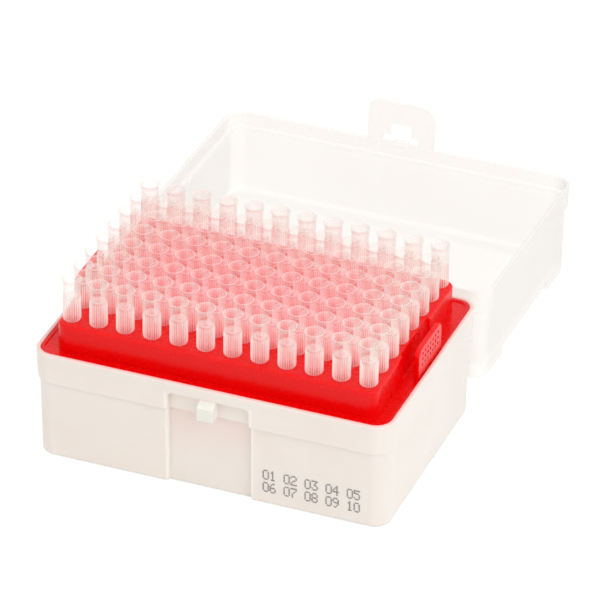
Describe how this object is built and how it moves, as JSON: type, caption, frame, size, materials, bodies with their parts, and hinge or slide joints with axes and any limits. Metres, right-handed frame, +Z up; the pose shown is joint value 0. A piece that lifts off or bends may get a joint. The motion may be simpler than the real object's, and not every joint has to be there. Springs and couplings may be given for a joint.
{
  "type": "pipette tip box",
  "caption": "Hinged plastic box with a white base, a red rack of ribbed pipette tips on a plate grid, and a frosted lid with a snap tab, shown open.",
  "frame": {"origin": "centre of the base's underside, on the surface that the box stands on", "axes": "+X to the right along the box's long side, +Y to the back where the lid is hinged, +Z up"},
  "size_m": [0.1222, 0.1753, 0.0619],
  "materials": {
    "base_plastic": "white, satin, slightly translucent",
    "rack_plastic": "red, glossy",
    "lid_plastic": "frosted, translucent",
    "tip_plastic": "clear to frosted"
  },
  "bodies": {
    "box": {"base": "base_plastic", "rack": "rack_plastic", "tips_a1_a2": "tip_plastic", "tips_a3_a4": "tip_plastic", "tips_a5_a6": "tip_plastic", "tips_a7_a8": "tip_plastic", "tips_a9_a10": "tip_plastic", "tips_a11_a12": "tip_plastic", "tips_b1_b2": "tip_plastic", "tips_b3_b4": "tip_plastic", "tips_b5_b6": "tip_plastic", "tips_b7_b8": "tip_plastic", "tips_b9_b10": "tip_plastic", "tips_b11_b12": "tip_plastic", "tips_c1_c2": "tip_plastic", "tips_c3_c4": "tip_plastic", "tips_c5_c6": "tip_plastic", "tips_c7_c8": "tip_plastic", "tips_c9_c10": "tip_plastic", "tips_c11_c12": "tip_plastic", "tips_d1_d2": "tip_plastic", "tips_d3_d4": "tip_plastic", "tips_d5_d6": "tip_plastic", "tips_d7_d8": "tip_plastic", "tips_d9_d10": "tip_plastic", "tips_d11_d12": "tip_plastic", "tips_e1_e2": "tip_plastic", "tips_e3_e4": "tip_plastic", "tips_e5_e6": "tip_plastic", "tips_e7_e8": "tip_plastic", "tips_e9_e10": "tip_plastic", "tips_e11_e12": "tip_plastic", "tips_f1_f2": "tip_plastic", "tips_f3_f4": "tip_plastic", "tips_f5_f6": "tip_plastic", "tips_f7_f8": "tip_plastic", "tips_f9_f10": "tip_plastic", "tips_f11_f12": "tip_plastic", "tips_g1_g2": "tip_plastic", "tips_g3_g4": "tip_plastic", "tips_g5_g6": "tip_plastic", "tips_g7_g8": "tip_plastic", "tips_g9_g10": "tip_plastic", "tips_g11_g12": "tip_plastic", "tips_h1_h2": "tip_plastic", "tips_h3_h4": "tip_plastic", "tips_h5_h6": "tip_plastic", "tips_h7_h8": "tip_plastic", "tips_h9_h10": "tip_plastic", "tips_h11_h12": "tip_plastic"},
    "lid": {"lid": "lid_plastic"}
  },
  "joints": [
    {"name": "lid_hinge", "type": "hinge", "parent": "box", "child": "lid", "pos_m": [0, 0.0442, 0.03625], "axis": [1, 0, 0], "range_deg": [0, 181.92]}
  ]
}
